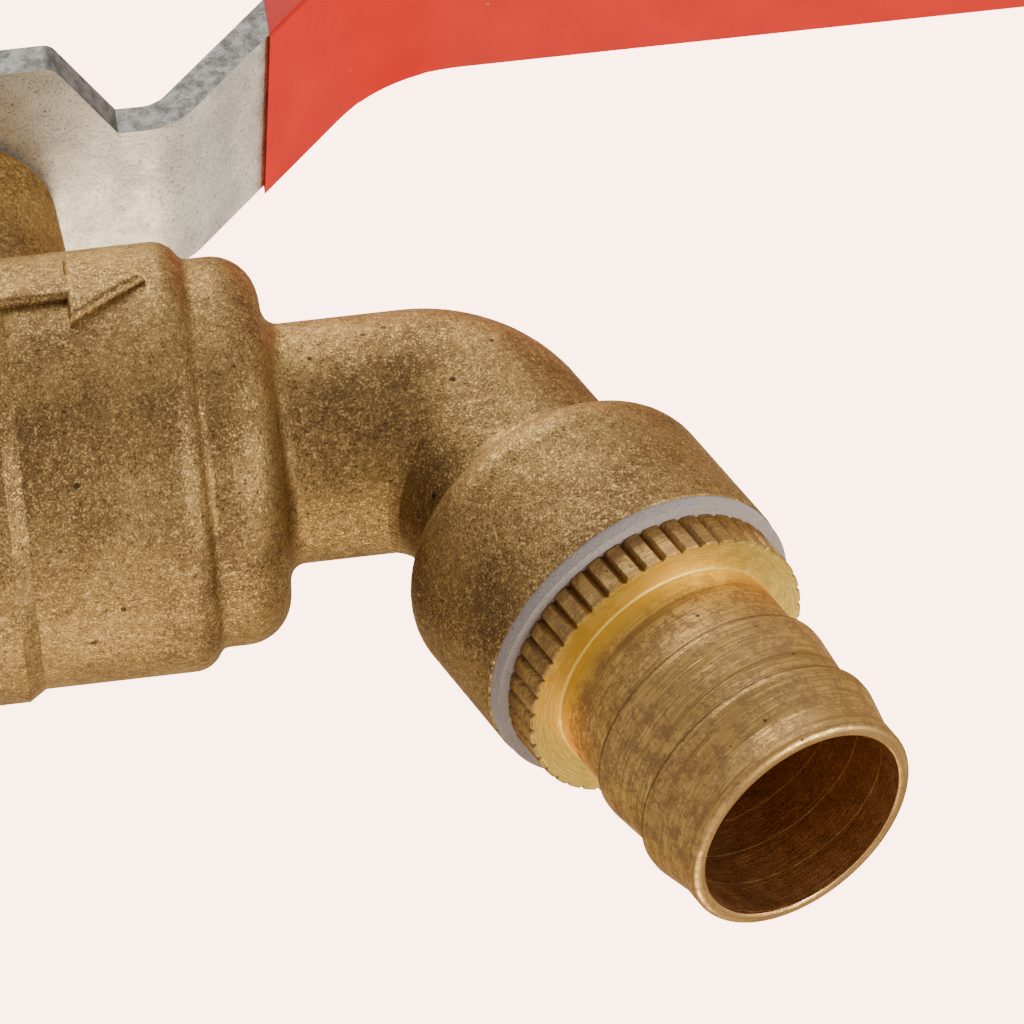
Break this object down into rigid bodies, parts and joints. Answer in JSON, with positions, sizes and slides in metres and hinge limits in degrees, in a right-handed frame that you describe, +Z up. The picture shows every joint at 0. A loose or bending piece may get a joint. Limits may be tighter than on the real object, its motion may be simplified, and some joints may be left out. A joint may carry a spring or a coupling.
{
  "type": "hose bib",
  "caption": "Angled lever ball valve hose bib with a male wall thread, a cranked plate lever with a dipped grip and a screwed-in barbed hose tail.",
  "frame": {"origin": "Centre of the inlet shoulder, the plane where the wall thread ends and the hexagon begins.", "axes": "+X runs along the inlet axis from the wall toward the outlet, +Z runs up the stem, and +Y completes the right-handed frame, toward the side the lever closes to."},
  "size_m": [0.1515, 0.0372, 0.1087],
  "materials": {
    "body": "sand-blasted forging",
    "inlet_adapter": "machined",
    "body_seal": "matt",
    "ball": "polished plate",
    "seat_outlet": "matt",
    "seat_inlet": "matt",
    "stem": "machined",
    "stem_oring": "matt",
    "thrust_washer": "matt",
    "gland_packing": "matt",
    "gland_nut": "machined",
    "lever_plate": "zinc plated, dull",
    "lever_sleeve": "dipped, satin",
    "handle_washer": "zinc plated",
    "handle_nut": "zinc plated",
    "nut_insert": "matt",
    "tail_gasket": "matt fibre",
    "hose_tail": "turned, dulled"
  },
  "bodies": {
    "tap": {"body": "body", "inlet_adapter": "inlet_adapter", "body_seal": "body_seal", "seat_outlet": "seat_outlet", "seat_inlet": "seat_inlet", "thrust_washer": "thrust_washer", "gland_packing": "gland_packing", "gland_nut": "gland_nut"},
    "lever": {"stem": "stem", "stem_oring": "stem_oring", "lever_plate": "lever_plate", "lever_sleeve": "lever_sleeve", "handle_washer": "handle_washer", "handle_nut": "handle_nut", "nut_insert": "nut_insert"},
    "ball": {"ball": "ball"},
    "gasket": {"tail_gasket": "tail_gasket"},
    "tail": {"hose_tail": "hose_tail"}
  },
  "joints": [
    {"name": "lever_turn", "type": "hinge", "parent": "tap", "child": "lever", "pos_m": [0.032, 0, 0], "axis": [0, 0, 1], "range_deg": [0, 90]},
    {"name": "ball_turn", "type": "hinge", "parent": "tap", "child": "ball", "pos_m": [0.032, 0, 0], "axis": [0, 0, 1], "range_deg": [0, 90]},
    {"name": "tail_travel", "type": "slide", "parent": "tap", "child": "gasket", "axis": [0.4115, 0, -0.9114], "range_m": [0, 0.009]},
    {"name": "tail_turn", "type": "hinge", "parent": "gasket", "child": "tail", "pos_m": [0.08535, 0, -0.02734], "axis": [0.4115, 0, -0.9114], "range_deg": [0, 2160.01]}
  ],
  "couplings": [
    {"joint": "ball_turn", "follows": "lever_turn", "ratio": 1},
    {"joint": "tail_turn", "follows": "tail_travel", "rad_per_m": 4188.8}
  ]
}
